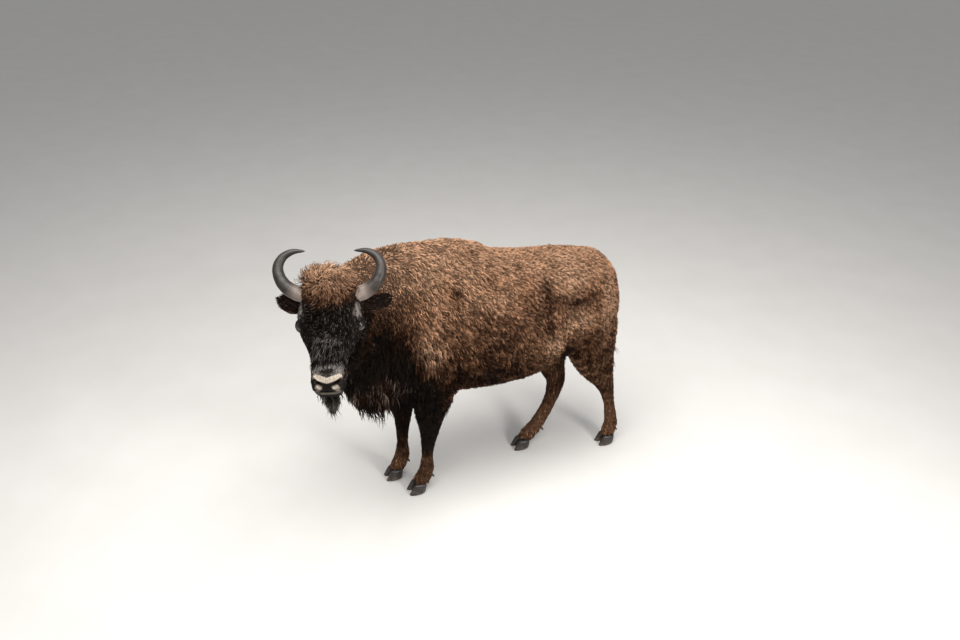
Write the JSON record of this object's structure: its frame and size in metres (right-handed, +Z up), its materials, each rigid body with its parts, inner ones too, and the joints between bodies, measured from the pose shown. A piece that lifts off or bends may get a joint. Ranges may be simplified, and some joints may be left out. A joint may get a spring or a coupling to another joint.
{
  "type": "wisent model",
  "caption": "Life-size standing model of a European bison looking over its left shoulder, with curved horns, woolly coat, throat mane, beard and cloven hooves.",
  "frame": {"origin": "on the ground, at the middle of the underside of the bounding box", "axes": "+Z up; the animal stands along Y with its hindquarters towards +Y and its left side towards +X; the head is turned to its left, towards +X and -Y"},
  "size_m": [1.0098, 2.0364, 1.6869],
  "materials": {
    "body_coat": "dense woolly reddish-brown fur with paler tips",
    "face_coat": "short blackish-brown fur, woolly and reddish on the crown",
    "leg_coat": "short dark brown fur",
    "long_hair": "long hanging dark hair with greyish tips",
    "muzzle": "bare moist nose skin in a pale and dark pattern, with short dark fur behind it",
    "horn": "grey horn, pale at the base and dark at the tip, satin",
    "hoof": "dark grey dusty horn",
    "eye": "very dark brown, wet gloss"
  },
  "bodies": {
    "root": {"head": "face_coat", "muzzle": "muzzle", "lower_jaw": "face_coat", "beard": "long_hair", "horn_left": "horn", "ear_left": "face_coat", "eye_left": "eye", "horn_right": "horn", "ear_right": "face_coat", "eye_right": "eye", "neck": "body_coat", "throat_mane": "long_hair", "forequarters": "body_coat", "barrel": "body_coat", "hindquarters": "body_coat", "tail": "long_hair", "foreleg_left_upper": "leg_coat", "foreleg_left_lower": "leg_coat", "foreleg_left_foot": "leg_coat", "foreleg_left_claw_left": "hoof", "foreleg_left_dewclaw_left": "hoof", "foreleg_left_claw_right": "hoof", "foreleg_left_dewclaw_right": "hoof", "foreleg_right_upper": "leg_coat", "foreleg_right_lower": "leg_coat", "foreleg_right_foot": "leg_coat", "foreleg_right_claw_left": "hoof", "foreleg_right_dewclaw_left": "hoof", "foreleg_right_claw_right": "hoof", "foreleg_right_dewclaw_right": "hoof", "hindleg_left_upper": "leg_coat", "hindleg_left_lower": "leg_coat", "hindleg_left_foot": "leg_coat", "hindleg_left_claw_left": "hoof", "hindleg_left_dewclaw_left": "hoof", "hindleg_left_claw_right": "hoof", "hindleg_left_dewclaw_right": "hoof", "hindleg_right_upper": "leg_coat", "hindleg_right_lower": "leg_coat", "hindleg_right_foot": "leg_coat", "hindleg_right_claw_left": "hoof", "hindleg_right_dewclaw_left": "hoof", "hindleg_right_claw_right": "hoof", "hindleg_right_dewclaw_right": "hoof"}
  },
  "joints": []
}
